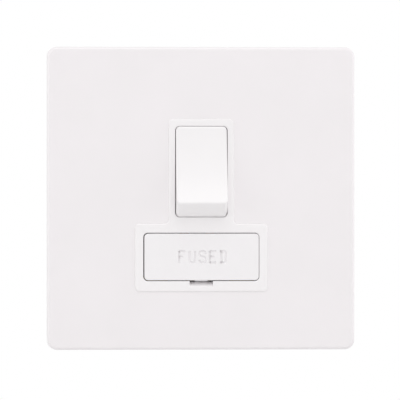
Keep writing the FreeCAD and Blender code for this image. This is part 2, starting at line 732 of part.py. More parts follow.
def fuse_cap(side):
    """A plated cup pressed over one end of the tube."""
    end = side * fuse_length / 2
    mouth = side * (fuse_length / 2 - fuse_cap_length)
    floor = side * (fuse_length / 2 - fuse_cap_end)
    cup = rod(fuse_cap_radius, Vector(mouth, fuse_y, carrier_z), Vector(end, fuse_y, carrier_z))
    return cup.cut(rod(tube_radius + fuse_cap_clearance, Vector(mouth - side, fuse_y, carrier_z),
                       Vector(floor, fuse_y, carrier_z)))


def fuse_clip(side):
    """Two leaves that grip a fuse cap from above and below, on a base with a leg to the strap."""
    x0 = side * clip_x - clip_width / 2
    inside = fuse_cap_radius + clip_clearance
    outside = inside + clip_thickness
    mouth = fuse_y - fuse_cap_radius * 0.8
    tip = mouth - clip_flare * 0.8
    right = [(clip_base_front, inside), (mouth, inside), (tip, inside + clip_flare),
             (tip, outside + clip_flare), (mouth, outside), (chamber_floor, outside)]
    left = [(y, -z) for y, z in reversed(right)]
    points = [Vector(x0, y, carrier_z + z) for y, z in right + left]
    jaws = prism(points, Vector(clip_width, 0, 0))
    leg_half = clip_leg_width / 2
    centre = side * clip_x
    leg = box(centre - leg_half, centre + leg_half, chamber_floor - 0.2, strap_front,
              carrier_z - clip_thickness / 2, carrier_z + clip_thickness / 2)
    return joined(jaws, leg)


def fuse_carrier():
    """The drawer: a flush face, a saddle that holds the fuse, two rails with stop lugs and a latch tongue."""
    face = slab(carrier_width, carrier_height, carrier_corner_radius,
                insert_front, carrier_face_back, 0, carrier_z)
    half = cradle_width / 2
    reach = cradle_radius + cradle_wall
    saddle = box(-half, half, carrier_face_back - 0.1, cradle_back,
                 carrier_z - reach, carrier_z + cradle_radius * 0.7)
    groove = rod(cradle_radius, Vector(-half - 1, fuse_y, carrier_z), Vector(half + 1, fuse_y, carrier_z))
    throat = box(-half - 1, half + 1, fuse_y - cradle_radius, fuse_y + cradle_radius,
                 carrier_z, carrier_z + 20)
    saddle = saddle.cut(groove).cut(throat)
    pieces = [face, saddle]
    for side in (-1, 1):
        x0, x1 = sorted((side * (rail_outer - rail_wall), side * rail_outer))
        pieces.append(box(x0, x1, carrier_face_back - 0.1, rail_back,
                          carrier_z - rail_height / 2, carrier_z + rail_height / 2))
        x0, x1 = sorted((side * (rail_outer - 0.2), side * (rail_outer + stop_lug_overhang)))
        pieces.append(box(x0, x1, rail_back - stop_lug_length, rail_back,
                          carrier_z - stop_lug_height / 2, carrier_z + stop_lug_height / 2))
    bottom = carrier_z - carrier_height / 2
    tongue_front = insert_front + carrier_face - tongue_depth
    pieces.append(box(-tongue_width / 2, tongue_width / 2, tongue_front, carrier_face_back,
                      bottom - tongue_drop, bottom + 0.5))
    return joined(*pieces)


def model():
    """Every piece by name, with the rocker off and the drawer shut."""
    pieces = {
        "cover_plate": cover_plate(),
        "front_moulding": front_moulding(),
        "rear_housing": rear_housing(),
        "fuse_carrier": fuse_carrier(),
        "fuse_tube": fuse_tube(),
        "fuse_cap_left": fuse_cap(-1),
        "fuse_cap_right": fuse_cap(1),
        "line_fuse_clip": fuse_clip(1),
        "load_fuse_clip": fuse_clip(-1),
        "rocker": turned(level_rocker(), -rocker_half_travel, pivot_y, rocker_z),
    }
    for name, side in (("live", 1), ("neutral", -1)):
        x = side * pole_x
        pieces[name + "_plunger"] = turned(level_plunger(x), -rocker_half_travel, pivot_y, rocker_z)
        pieces[name + "_plunger_spring"] = turned(level_spring(x), -rocker_half_travel, pivot_y, rocker_z)
        arm = level_seesaw(x)
        pieces[name + "_rocking_contact"] = turned(arm, seesaw_half_travel, seesaw_axis_y, rocker_z)
        moving_tip = contact_tile(x, closed_wing_back, moving_contact_back)
        pieces[name + "_moving_tip"] = turned(moving_tip, 2 * seesaw_half_travel, seesaw_axis_y, rocker_z)
        pieces[name + "_fixed_tip"] = contact_tile(x, fixed_contact_front, strap_front)
    pieces.update(straps())
    channels = strap_outlines()
    for name, x, z, row in terminals():
        block = terminal_block(x, z)
        for points in channels.values():
            block = block.cut(strap(points))
        pieces[name + "_terminal"] = block
        pieces[name + "_screw"] = terminal_screw(x, z)
    for number, (x, z) in enumerate(assembly_places(), 1):
        pieces["assembly_screw_%d" % number] = assembly_screw(x, z)
    return pieces


def main():
    os.makedirs("parts", exist_ok=True)
    for name, shape in model().items():
        solids = shape.Solids
        if len(solids) != 1 or not shape.isValid():
            raise ValueError("%s has %d solids, valid %s" % (name, len(solids), shape.isValid()))
        solids[0].exportStep("parts/%s.step" % name)


if __name__ == "__main__":
    main()
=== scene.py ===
"""Looks of a switched fused spur unit, laid out as an add-on around its packed solids."""

import json
import math

import bpy
from bpy.props import (
    BoolProperty, FloatProperty, FloatVectorProperty, IntProperty, PointerProperty,
)
from mathutils import Matrix, Vector


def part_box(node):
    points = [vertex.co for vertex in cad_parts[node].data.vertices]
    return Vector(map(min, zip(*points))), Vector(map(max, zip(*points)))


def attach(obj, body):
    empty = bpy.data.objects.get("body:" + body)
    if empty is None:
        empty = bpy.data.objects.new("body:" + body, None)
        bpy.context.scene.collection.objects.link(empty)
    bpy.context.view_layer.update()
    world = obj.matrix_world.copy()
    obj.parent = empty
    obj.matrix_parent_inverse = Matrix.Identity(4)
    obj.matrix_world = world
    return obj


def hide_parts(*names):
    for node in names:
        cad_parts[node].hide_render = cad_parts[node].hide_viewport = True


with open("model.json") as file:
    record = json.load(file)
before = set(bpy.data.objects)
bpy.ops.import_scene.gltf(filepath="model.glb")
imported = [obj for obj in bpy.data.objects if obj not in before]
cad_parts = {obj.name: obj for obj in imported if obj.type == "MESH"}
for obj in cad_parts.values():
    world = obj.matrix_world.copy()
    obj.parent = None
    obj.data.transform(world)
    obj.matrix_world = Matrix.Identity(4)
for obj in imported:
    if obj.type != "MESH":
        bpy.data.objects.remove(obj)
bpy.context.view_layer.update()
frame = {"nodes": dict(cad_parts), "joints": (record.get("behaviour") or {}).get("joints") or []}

bl_info = {
    "name": "Fused spur unit",
    "version": (1, 0, 0),
    "blender": (4, 5, 0),
    "location": "View3D > Sidebar > Spur unit",
    "description": "Dresses the solids of a switched fused spur unit and sets its studio",
    "category": "Object",
}

MM = 0.001
AXES = {"X": Vector((1, 0, 0)), "Y": Vector((0, 1, 0)), "Z": Vector((0, 0, 1))}
POLES = ("live", "neutral")
WHITE = (1.0, 1.0, 1.0, 1.0)

# Corners nearer than this are one, and faces that turn by less are one flat
MERGE, FLAT = 0.002 * MM, math.radians(0.3)
# What lies this near to a piece's front is on its front
ON_FRONT = 0.05 * MM
# Width of the ring of faces inside the borders of a front
BORDER = 0.6 * MM
# Roundings of the pieces that the mouldings hold or cover
HOUSING_EDGE, CLIP_EDGE, BLOCK_EDGE, STAMPED_EDGE = 0.25 * MM, 0.14 * MM, 0.15 * MM, 0.1 * MM


# Settings

def length(name, default, description):
    """A length in metres, given in millimetres."""
    return FloatProperty(name=name, description=description, default=default * MM, min=0.0,
                         precision=5, subtype="DISTANCE", unit="LENGTH")


def share(name, default, description):
    """A share from 0 to 1."""
    return FloatProperty(name=name, description=description, default=default, min=0.0, max=1.0,
                         subtype="FACTOR")


def colour(name, default, description):
    """A linear colour."""
    return FloatVectorProperty(name=name, description=description, default=default, min=0.0,
                               max=1.0, size=3, subtype="COLOR")


def watts(name, default, description):
    """A lamp's power."""
    return FloatProperty(name=name, description=description, default=default, min=0.0,
                         subtype="POWER", unit="POWER")


class PlateSettings(bpy.types.PropertyGroup):
    """The clip-on cover plate."""
    tint: colour("Plate colour", (0.868, 0.836, 0.850), "White lacquer, a touch pink")
    shade: colour("Plate shade", (0.856, 0.826, 0.838), "The lacquer where it is thinner")
    sheen: share("Plate roughness", 0.34, "How dull the lacquer is")


class MouldingSettings(bpy.types.PropertyGroup):
    """The white mouldings that show in the plate's aperture."""
    insert_tint: colour("Insert colour", (0.886, 0.864, 0.872), "White urea, nearly neutral")
    # Painted light: the rocker's colour is a touch lighter than the insert's, standing in for how
    # the rocker is lit
    rocker_tint_painted_light: colour("Rocker colour", (0.891, 0.872, 0.878), "White urea of the rocker")
    # Painted shade: the drawer's colour is a touch darker than the insert's, standing in for how
    # the drawer is lit
    drawer_tint_painted_shade: colour("Drawer colour", (0.878, 0.858, 0.869), "White urea of the drawer")
    flow: share("Flow marks", 0.007, "How much darker the flow marks are")
    sheen: share("Moulding roughness", 0.26, "How dull the gloss mouldings are")
    insert_edge: length("Insert edge", 0.29, "Rounding of the insert and the drawer")
    insert_seat: length("Insert seat", 0.027, "How far the insert's walls come out to the plate")
    tongue_recess: length("Tongue recess", 0.9, "How much further back the latch tongue's front is")
    drawer_play: length("Drawer play", 0.1, "How far right of its aperture the drawer sits")
    rocker_edge: length("Rocker edge", 0.34, "Rounding of the rocker's rims")
    rocker_reach: length("Rocker reach", 15.2, "From the rocker's pivot to its ends")
    rocker_half: length("Rocker half width", 7.6, "From the rocker's middle to its sides")
    housing_tint: colour("Housing colour", (0.70, 0.70, 0.69), "White urea of the rear housing")


class LetteringSettings(bpy.types.PropertyGroup):
    """The engraved word on the drawer and the plain marks beside the terminals."""
    height: length("Letter height", 4.1, "From the outside of the top stroke to the bottom one")
    width: length("Letter width", 2.5, "Outside width of one letter")
    pitch: length("Letter pitch", 3.05, "From one letter to the next")
    shift: length("Word shift", 0.34, "How far right of the drawer's middle the word stands")
    stroke: length("Stroke width", 0.70, "Width of the groove at the surface")
    depth: length("Groove depth", 0.32, "How deep the groove is")
    mark_height: length("Terminal mark height", 2.8, "Height of a mark on the rear housing")
    mark_stroke: length("Terminal mark stroke", 0.5, "Width of a mark's stroke")


class SwitchSettings(bpy.types.PropertyGroup):
    """The pins, springs and silver tips inside the switch."""
    pin_radius: length("Plunger radius", 1.5, "Radius of a plunger")
    pin_length: length("Plunger length", 6.6, "Length of a plunger")
    pin_reach: length("Plunger reach", 8.2, "From the rocker's pivot to the plunger's tip")
    socket_depth: length("Socket depth", 10.8, "Depth of a plunger's socket")
    socket_reach: length("Socket reach", 5.8, "From the rocker's pivot to the socket's mouth")
    wire: length("Spring wire", 0.45, "Diameter of the spring's wire")
    turns: IntProperty(name="Spring turns", description="Turns of a plunger spring", default=6,
                       min=2)
    tip_gap: length("Contact gap", 0.1, "Between the closed silver tips")


class ScrewSettings(bpy.types.PropertyGroup):
    """The clamping screws and the housing's screws."""
    terminal_pitch: length("Terminal screw pitch", 0.6, "Pitch of the clamping screws' thread")
    assembly_pitch: length("Housing screw pitch", 1.0, "Pitch of the housing screws' thread")
    thread_depth: length("Thread depth", 0.26, "From a thread's crest to its root")
    slot: length("Slot width", 0.7, "Width of a screwdriver slot")
    slot_depth: length("Slot depth", 0.9, "Depth of a screwdriver slot")


class StudioSettings(bpy.types.PropertyGroup):
    """Camera, floor and lights."""
    azimuth: FloatProperty(name="Camera azimuth", description="Turn of the camera to the left",
                           default=math.radians(-4.5), subtype="ANGLE", unit="ROTATION")
    distance: length("Camera distance", 1600.0, "From the camera to the plate")
    framed: length("Framed width", 118.91, "Width of the picture at the plate")
    aim_left: length("Aim to the left", 0.395, "How far left of the plate's middle the camera aims")
    aim_down: length("Aim down", 0.5, "How far below the plate's middle the camera aims")
    floor_drop: length("Floor drop", 75.0, "From the plate's middle down to the floor")
    floor_reach: length("Floor reach", 330.0, "How far the floor is seen before it is all white")
    sky: FloatProperty(name="Sky level", description="Strength of the light from all round",
                       default=0.64, min=0.0)
    key: watts("Key power", 4.0, "Power of the soft lamp above")
    side: watts("Side power", 2.1, "Power of each soft lamp beside")
    show_floor: BoolProperty(name="Floor", description="Add the pale floor sheet", default=True)


# Mesh helpers

def pick(*pieces):
    """Selects these pieces and nothing else, the first one active."""
    if bpy.context.object and bpy.context.object.mode != "OBJECT":
        bpy.ops.object.mode_set(mode="OBJECT")
    bpy.ops.object.select_all(action="DESELECT")
    for piece in pieces:
        piece.select_set(True)
    if pieces:
        bpy.context.view_layer.objects.active = pieces[0]


def edit_all(piece):
    """Opens the piece in edit mode with all of it selected."""
    pick(piece)
    bpy.ops.object.mode_set(mode="EDIT")
    bpy.ops.mesh.select_all(action="SELECT")


def close_edit():
    """Leaves edit mode."""
    bpy.ops.object.mode_set(mode="OBJECT")


def apply_all(piece):
    """Applies the piece's modifiers in order."""
    pick(piece)
    for modifier in list(piece.modifiers):
        bpy.ops.object.modifier_apply(modifier=modifier.name)


def settle(piece):
    """Puts the piece's place, turn and size into its mesh."""
    pick(piece)
    bpy.ops.object.transform_apply(location=True, rotation=True, scale=True)


def copy_of(node, name, whole=False):
    """A piece of its own with the node's shape, its loose triangles merged, or flats left whole."""
    piece = bpy.data.objects.new(name, frame["nodes"][node].data.copy())
    piece.data.name = name
    piece.data.materials.clear()
    bpy.context.scene.collection.objects.link(piece)
    edit_all(piece)
    bpy.ops.mesh.customdata_custom_splitnormals_clear()
    bpy.ops.mesh.remove_doubles(threshold=MERGE)
    bpy.ops.mesh.dissolve_limited(angle_limit=FLAT)
    if not whole:
        bpy.ops.mesh.quads_convert_to_tris(quad_method="BEAUTY", ngon_method="BEAUTY")
    close_edit()
    return piece


def push(piece, offset, chosen):
    """Moves the corners whose numbers are in a set."""
    edit_all(piece)
    bpy.ops.mesh.select_mode(type="VERT")
    bpy.ops.mesh.select_all(action="DESELECT")
    close_edit()
    for vertex in piece.data.vertices:
        vertex.select = vertex.index in chosen
    bpy.ops.object.mode_set(mode="EDIT")
    bpy.ops.transform.translate(value=offset)
    close_edit()


def border_front(piece):
    """Gives the foremost flat an even ring of faces inside each of its borders."""
    edit_all(piece)
    bpy.ops.mesh.select_all(action="DESELECT")
    bpy.ops.mesh.select_mode(type="FACE")
    close_edit()
    front, facing = min(vertex.co.y for vertex in piece.data.vertices), -0.999
    for face in piece.data.polygons:
        face.select = face.normal.y < facing and face.center.y < front + ON_FRONT
    bpy.ops.object.mode_set(mode="EDIT")
    bpy.ops.mesh.inset(thickness=BORDER)
    close_edit()


def soften(piece, width, segments=2, above=38, share_at=None, profile=0.5):
    """Rounds the edges that turn by more than an angle, by a share of the width at each place.

    A profile of 0.5 is a quarter round, and a lower one is flatter.
    """
    edit_all(piece)
    bpy.ops.mesh.select_all(action="DESELECT")
    bpy.ops.mesh.select_mode(type="EDGE")
    bpy.ops.mesh.edges_select_sharp(sharpness=math.radians(above))
    close_edit()
    mesh = piece.data
    weights = mesh.attributes.new("bevel_weight_edge", "FLOAT", "EDGE")
    for edge in mesh.edges:
        if edge.select:
            start, end = (mesh.vertices[index].co for index in edge.vertices)
            weights.data[edge.index].value = share_at((start + end) / 2) if share_at else 1.0
    bevel = piece.modifiers.new("Soft edges", "BEVEL")
    bevel.width = width
    bevel.segments = segments
    bevel.profile = profile
    bevel.limit_method = "WEIGHT"
    bevel.use_clamp_overlap = False
    bevel.miter_outer = "MITER_ARC"
    apply_all(piece)
    mesh.attributes.remove(mesh.attributes["bevel_weight_edge"])
    return piece


def shade(piece, above=38):
    """Smooth shading that keeps the sharp edges and weighs normals by face."""
    pick(piece)
    bpy.ops.object.shade_smooth_by_angle(angle=math.radians(above))
    weigh = piece.modifiers.new("Even shading", "WEIGHTED_NORMAL")
    weigh.keep_sharp = True
    weigh.weight = 100
    apply_all(piece)
    return piece


def finish_piece(piece, body, slot, finish, *nodes):
    """Gives the piece its material and the body it rides, and hides the nodes it stands for; the
    slot is not used.
    """
    if not piece.data.materials:
        piece.data.materials.append(finish)
    piece.data.materials[0] = finish
    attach(piece, body)
    if nodes:
        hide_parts(*nodes)
    return piece


def lathe(name, profile, axis="Y", steps=48):
    """Spins a profile of (radius, along) points once round an axis through the origin."""
    pick()
    bpy.ops.mesh.primitive_plane_add(size=MM)
    piece = bpy.context.object
    piece.name = name
    along = AXES[axis]
    out = AXES["Z"] if axis == "X" else AXES["X"]
    points = [out * radius + along * place for radius, place in profile]
    bpy.ops.object.mode_set(mode="EDIT")
    bpy.ops.mesh.select_mode(type="VERT")
    bpy.ops.mesh.select_all(action="SELECT")
    bpy.ops.mesh.merge(type="CENTER")
    bpy.ops.transform.translate(value=points[0])
    for here, there in zip(points, points[1:]):
        bpy.ops.mesh.extrude_vertices_move(TRANSFORM_OT_translate={"value": there - here})
    bpy.ops.mesh.select_all(action="SELECT")
    bpy.ops.mesh.spin(steps=steps, angle=2 * math.pi, center=(0, 0, 0), axis=along)
    bpy.ops.mesh.select_all(action="SELECT")
    bpy.ops.mesh.remove_doubles(threshold=MERGE)
    bpy.ops.mesh.normals_make_consistent(inside=False)
    close_edit()
    return piece


def coil(name, ring, pitch, turns, steps, sides, size, flat=1.0):
    """A helix about Y from the origin: its section has sides, a radius and a share of height."""
    pick()
    bpy.ops.mesh.primitive_circle_add(vertices=sides, radius=size, location=(ring, 0, 0),
                                      rotation=(0, 0, math.radians(-90)))
    piece = bpy.context.object
    piece.name = name
    settle(piece)
    piece.data.transform(Matrix.Diagonal((1, flat, 1, 1)))
    screw = piece.modifiers.new("Turns", "SCREW")
    screw.axis = "Y"
    screw.angle = 2 * math.pi * turns
    screw.screw_offset = pitch * turns
    screw.steps = screw.render_steps = round(steps * turns)
    apply_all(piece)
    edit_all(piece)
    bpy.ops.mesh.fill_holes(sides=0)
    bpy.ops.mesh.select_all(action="SELECT")
    bpy.ops.mesh.normals_make_consistent(inside=False)
    close_edit()
    return piece


def threaded(core, root, edge, plain, pitch, depth, lead, flat):
    """The screw with whole turns of thread on its root, from its end's edge to its plain part."""
    turns = math.floor((plain - edge) / pitch)
    thread = coil("thread", root, pitch, turns, steps=32, sides=3, size=depth, flat=flat)
    moved(thread, Vector((0, edge + lead, 0)))
    return shade(join(core, thread), above=35)


def block(name, low, high):
    """A box between two corners, to cut with."""
    low, high = Vector(low), Vector(high)
    pick()
    bpy.ops.mesh.primitive_cube_add(size=1.0, location=(low + high) / 2)
    piece = bpy.context.object
    piece.name = name
    piece.scale = high - low
    settle(piece)
    return piece


def cut(piece, *tools):
    """Cuts tools out of the piece, also where they cross one another, and removes them."""
    for tool in tools:
        boolean = piece.modifiers.new("Cut", "BOOLEAN")
        boolean.operation = "DIFFERENCE"
        boolean.solver = "EXACT"
        boolean.use_self = True
        boolean.object = tool
    apply_all(piece)
    for tool in tools:
        bpy.data.objects.remove(tool)
    return piece


def join(piece, *others):
    """Makes others part of the piece's own mesh."""
    pick(piece, *others)
    bpy.ops.object.join()
    return piece


def moved(piece, offset):
    """The piece with its mesh moved."""
    piece.data.transform(Matrix.Translation(offset))
    return piece


def turned(piece, pivot, angle):
    """The piece with its mesh turned about a line along X."""
    turn = Matrix.Rotation(angle, 4, "X")
    piece.data.transform(Matrix.Translation(pivot) @ turn @ Matrix.Translation(-pivot))
    return piece


def twin(piece, name):
    """A copy with its own mesh."""
    other = piece.copy()
    other.data = piece.data.copy()
    other.name = other.data.name = name
    bpy.context.scene.collection.objects.link(other)
    return other


def bead(name, points, radius):
    """A mesh of a round bead: straight between two points, and curved along more."""
    rounded = len(points) > 2
    curve = bpy.data.curves.new(name, "CURVE")
    curve.dimensions = "3D"
    curve.bevel_depth = radius
    curve.bevel_resolution = 6
    curve.resolution_u = 6
    curve.use_fill_caps = True
    if not rounded:
        start, end = Vector(points[0]), Vector(points[-1])
        longest = 0.3 * MM
        runs = max(1, round((end - start).length / longest))
        points = [start.lerp(end, run / runs) for run in range(runs + 1)]
    spline = curve.splines.new("NURBS" if rounded else "POLY")
    spline.points.add(len(points) - 1)
    for point, place in zip(spline.points, points):
        point.co = (*place, 1.0)
    if rounded:
        spline.order_u = 3
        spline.use_endpoint_u = True
    holder = bpy.data.objects.new(name, curve)
    bpy.context.scene.collection.objects.link(holder)
    pick(holder)
    bpy.ops.object.convert(target="MESH")
    edit_all(bpy.context.object)
    bpy.ops.mesh.normals_make_consistent(inside=False)
    close_edit()
    return bpy.context.object


def joint(name):
    """A joint of the packed record."""
    return next(found for found in frame["joints"] if found["name"] == name)


def middle(node):
    """The middle of a node's box."""
    low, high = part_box(node)
    return (low + high) / 2


def front_middle(low, high):
    """The middle of the front side of a box between two corners."""
    return Vector(((low.x + high.x) / 2, low.y, (low.z + high.z) / 2))


def terminals():
    """The names that the terminal blocks and their screws begin with."""
    ending = "_terminal"
    return sorted(node.removesuffix(ending) for node in frame["nodes"] if node.endswith(ending))


# Finishes

def add_node(tree, kind, values=None, links=None):
    """A node of a kind, some of its inputs set to values and others linked from outputs."""
    node = tree.nodes.new("ShaderNode" + kind)
    for socket, value in (values or {}).items():
        node.inputs[socket].default_value = value
    for socket, output in (links or {}).items():
        tree.links.new(output, node.inputs[socket])
    return node


class Finish:
    """A material whose colour, roughness and relief follow patterns on Object coordinates."""

    def __init__(self, name):
        self.material = bpy.data.materials.new(name)
        self.material.use_nodes = True
        self.tree = self.material.node_tree
        self.shader = self.tree.nodes["Principled BSDF"]
        self.place = add_node(self.tree, "TexCoord").outputs["Object"]

    def noise(self, size, detail=2.0, stretch=(1.0, 1.0, 1.0)):
        """Noise with features of about a size, drawn out along an axis where stretch is small."""
        mapping = add_node(self.tree, "Mapping", {"Scale": stretch}, {"Vector": self.place})
        pattern = add_node(self.tree, "TexNoise", {"Scale": 1 / size, "Detail": detail},
                           {"Vector": mapping.outputs["Vector"]})
        return pattern.outputs["Fac"]

    def tinted(self, pattern, light, dark):
        """Base colour between two colours by a pattern."""
        ramp = add_node(self.tree, "ValToRGB", links={"Fac": pattern})
        start, end = 0.35, 0.65
        for stop, place, level in zip(ramp.color_ramp.elements, (start, end), (dark, light)):
            stop.position = place
            stop.color = (*level, 1.0)
        self.tree.links.new(ramp.outputs["Color"], self.shader.inputs["Base Color"])

    def worn(self, pattern, low, high):
        """Roughness between two values by a pattern."""
        spread = add_node(self.tree, "MapRange", {
            "From Min": 0.3, "From Max": 0.7, "To Min": low, "To Max": high}, {"Value": pattern})
        self.tree.links.new(spread.outputs["Result"], self.shader.inputs["Roughness"])

    def raised(self, pattern, height, strength):
        """Surface relief of a height by a pattern."""
        bump = add_node(self.tree, "Bump", {"Strength": strength, "Distance": height},
                        {"Height": pattern})
        self.tree.links.new(bump.outputs["Normal"], self.shader.inputs["Normal"])


def lacquered_plate():
    """White lacquer with a faint orange peel."""
    plate = bpy.context.scene.spur_plate
    skin = Finish("plate_lacquer")
    skin.tinted(skin.noise(18 * MM), plate.tint, plate.shade)
    skin.worn(skin.noise(4 * MM), plate.sheen - 0.03, plate.sheen + 0.04)
    skin.raised(skin.noise(0.9 * MM, detail=1.0), height=0.004 * MM, strength=0.35)
    skin.shader.inputs["Coat Weight"].default_value = 0.15
    skin.shader.inputs["Coat Roughness"].default_value = 0.25
    return skin.material


def gloss_moulding(name, tint):
    """White moulding with faint flow marks and a polished skin."""
    moulding = bpy.context.scene.spur_moulding
    skin = Finish(name)
    flow = skin.noise(7 * MM, detail=3.0, stretch=(1.0, 1.0, 0.45))
    skin.tinted(flow, tint, [level * (1 - moulding.flow) for level in tint])
    skin.worn(skin.noise(6 * MM), moulding.sheen - 0.006, moulding.sheen + 0.006)
    skin.raised(skin.noise(1.6 * MM, detail=1.0), height=0.003 * MM, strength=0.3)
    return skin.material


def dull_moulding():
    """The rear housing's fine spark-eroded skin."""
    tint = bpy.context.scene.spur_moulding.housing_tint
    skin = Finish("housing_moulding")
    skin.tinted(skin.noise(9 * MM, detail=3.0), tint, [level * 0.94 for level in tint])
    skin.worn(skin.noise(1.2 * MM), 0.42, 0.58)
    skin.raised(skin.noise(0.16 * MM, detail=3.0), height=0.012 * MM, strength=0.5)
    return skin.material


def glazed_tube():
    """Off-white fired ceramic with fine speckle."""
    skin = Finish("fuse_ceramic")
    speckle = skin.noise(0.5 * MM, detail=4.0)
    skin.tinted(speckle, (0.80, 0.77, 0.71), (0.72, 0.69, 0.62))
    skin.worn(skin.noise(1.5 * MM), 0.45, 0.65)
    skin.raised(skin.noise(0.2 * MM, detail=3.0), height=0.01 * MM, strength=0.5)
    return skin.material


def metal(name, light, dark, low, high, grain, stretch=(1.0, 1.0, 1.0), height=0.004):
    """A metal of two colours and two roughnesses, its grain and relief in millimetres."""
    skin = Finish(name)
    skin.tinted(skin.noise(5 * MM, detail=3.0), light, dark)
    lines = skin.noise(grain * MM, detail=3.0, stretch=stretch)
    skin.worn(lines, low, high)
    skin.raised(lines, height=height * MM, strength=0.4)
    skin.shader.inputs["Metallic"].default_value = 1.0
    return skin.material


def plated_cap():
    """Nickel of the fuse's caps, drawn along them."""
    return metal("cap_nickel", (0.66, 0.63, 0.58), (0.58, 0.55, 0.50),
                 0.22, 0.36, grain=0.4, stretch=(0.08, 1, 1))


def turned_brass():
    """Brass of the terminal blocks, sawn from bar."""
    return metal("terminal_brass", (0.80, 0.58, 0.26), (0.70, 0.49, 0.20),
                 0.26, 0.42, grain=0.3, stretch=(1, 1, 0.06))


def rolled_copper():
    """Copper sheet of the straps."""
    return metal("strap_copper", (0.84, 0.53, 0.38), (0.74, 0.44, 0.30),
                 0.28, 0.44, grain=0.3, stretch=(1, 1, 0.1))


def sprung_bronze():
    """Bronze sheet of the fuse's clips."""
    return metal("clip_bronze", (0.78, 0.56, 0.34), (0.68, 0.47, 0.27),
                 0.25, 0.40, grain=0.3, stretch=(0.1, 1, 1))


def contact_copper():
    """Copper of the rocking contacts."""
    return metal("arm_copper", (0.82, 0.50, 0.34), (0.73, 0.43, 0.28),
                 0.26, 0.42, grain=0.3, stretch=(1, 0.1, 1))


def soft_silver():
    """Silver of the contact tips."""
    return metal("tip_silver", (0.86, 0.85, 0.83), (0.78, 0.77, 0.75),
                 0.24, 0.38, grain=0.25, height=0.003)


def zinc_steel():
    """Bright zinc of all the screws, made once."""
    return bpy.data.materials.get("screw_zinc") or metal(
        "screw_zinc", (0.62, 0.63, 0.65), (0.54, 0.55, 0.58), 0.24, 0.40, grain=0.35)


def spring_steel():
    """Steel of the plungers' springs."""
    return metal("spring_wire", (0.50, 0.49, 0.47), (0.42, 0.41, 0.40), 0.24, 0.36,
                 grain=0.2)


def natural_nylon():
    """Milky nylon of the plungers."""
    skin = Finish("plunger_nylon")
    skin.tinted(skin.noise(2 * MM), (0.80, 0.78, 0.71), (0.76, 0.73, 0.65))
    skin.worn(skin.noise(0.6 * MM), 0.36, 0.50)
    skin.raised(skin.noise(0.3 * MM), height=0.006 * MM, strength=0.4)
    skin.shader.inputs["Subsurface Weight"].default_value = 0.2
    skin.shader.inputs["Subsurface Scale"].default_value = 1.0 * MM
    return skin.material


# Pieces

class CoverPlateOperator(bpy.types.Operator):
    """Dress the cover plate: smooth round edges and white lacquer"""
    bl_idname = "spur_unit.cover_plate"
    bl_label = "Cover plate"

    def execute(self, context):
        plate = shade(copy_of("cover_plate", "plate_shell"))
        finish_piece(plate, "unit", "plate", lacquered_plate(), "cover_plate")
        return {"FINISHED"}


class FrontMouldingOperator(bpy.types.Operator):
    """Dress the front moulding: soft edges round the insert's front, smaller ones at its wells"""
    bl_idname = "spur_unit.front_moulding"
    bl_label = "Front moulding"

    def execute(self, context):
        sizes = context.scene.spur_moulding
        moulding = copy_of("front_moulding", "insert_moulding")
        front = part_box("front_moulding")[0].y
        self.seat(moulding, front, sizes.insert_seat)
        border_front(moulding)
        well_share = 0.3

        def share_at(place):
            """All of the rounding along the T's outline, less at its wells and none behind."""
            if place.y > front + ON_FRONT:
                return 0.0
            return well_share if self.in_wells(place) else 1.0

        soften(moulding, sizes.insert_edge, segments=3, share_at=share_at, profile=0.3)
        finish = gloss_moulding("insert_gloss", sizes.insert_tint)
        finish_piece(shade(moulding), "unit", "insert", finish, "front_moulding")
        return {"FINISHED"}

    def in_wells(self, place):
        """Whether a place lies in or at the rocker's well, the drawer's aperture or the notch."""
        wide, past_wall, past_aperture, past_notch = MM, 0.6 * MM, 1.2 * MM, 1.9 * MM
        low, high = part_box("rocker")
        half = bpy.context.scene.spur_moulding.rocker_half
        if abs(place.x) < half + wide and low.z - wide < place.z < high.z - past_wall:
            return True
        low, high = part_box("fuse_carrier")
        return (low.x - wide < place.x < high.x + wide
                and low.z - past_notch < place.z < high.z + past_aperture)

    def seat(self, moulding, front, reach):
        """Brings the T's walls out to the plate, which is clipped tight round them."""
        upright, foremost, along = 0.1, front + 1.2 * MM, 0.25
        outward = {}
        for face in moulding.data.polygons:
            if (abs(face.normal.y) < upright and face.center.y < foremost
                    and not self.in_wells(face.center)):
                for index in face.vertices:
                    outward[index] = outward.get(index, Vector()) + face.normal.normalized()
        for way in (-AXES["X"], AXES["X"], -AXES["Z"], AXES["Z"]):
            push(moulding, way * reach, {
                index for index, normal in outward.items() if normal.normalized() @ way > along})


class RockerOperator(bpy.types.Operator):
    """Dress the rocker: rounded rims between its dish, ends and sides"""
    bl_idname = "spur_unit.rocker"
    bl_label = "Rocker"

    def execute(self, context):
        sizes = context.scene.spur_moulding
        rocker = copy_of("rocker", "rocker_cap", whole=True)
        hinge = Vector(joint("rocker_hinge")["pos_m"])
        trunnions, wall = hinge.y - 2 * MM, 1.2 * MM

        def share_at(place):
            """All of the rounding on the cap's ends and sides in front of its trunnions."""
            reach = math.hypot(place.y - hinge.y, place.z - hinge.z)
            outside = reach > sizes.rocker_reach - wall or abs(place.x) > sizes.rocker_half - wall
            return 1.0 if place.y < trunnions and outside else 0.0

        soften(rocker, sizes.rocker_edge, segments=4, above=30, share_at=share_at)
        # The rocker's finish carries its painted light: a lighter copy of the insert's white
        finish = gloss_moulding("rocker_gloss_painted_light", sizes.rocker_tint_painted_light)
        finish_piece(shade(rocker, above=35), "rocker", "rocker", finish, "rocker")
        return {"FINISHED"}


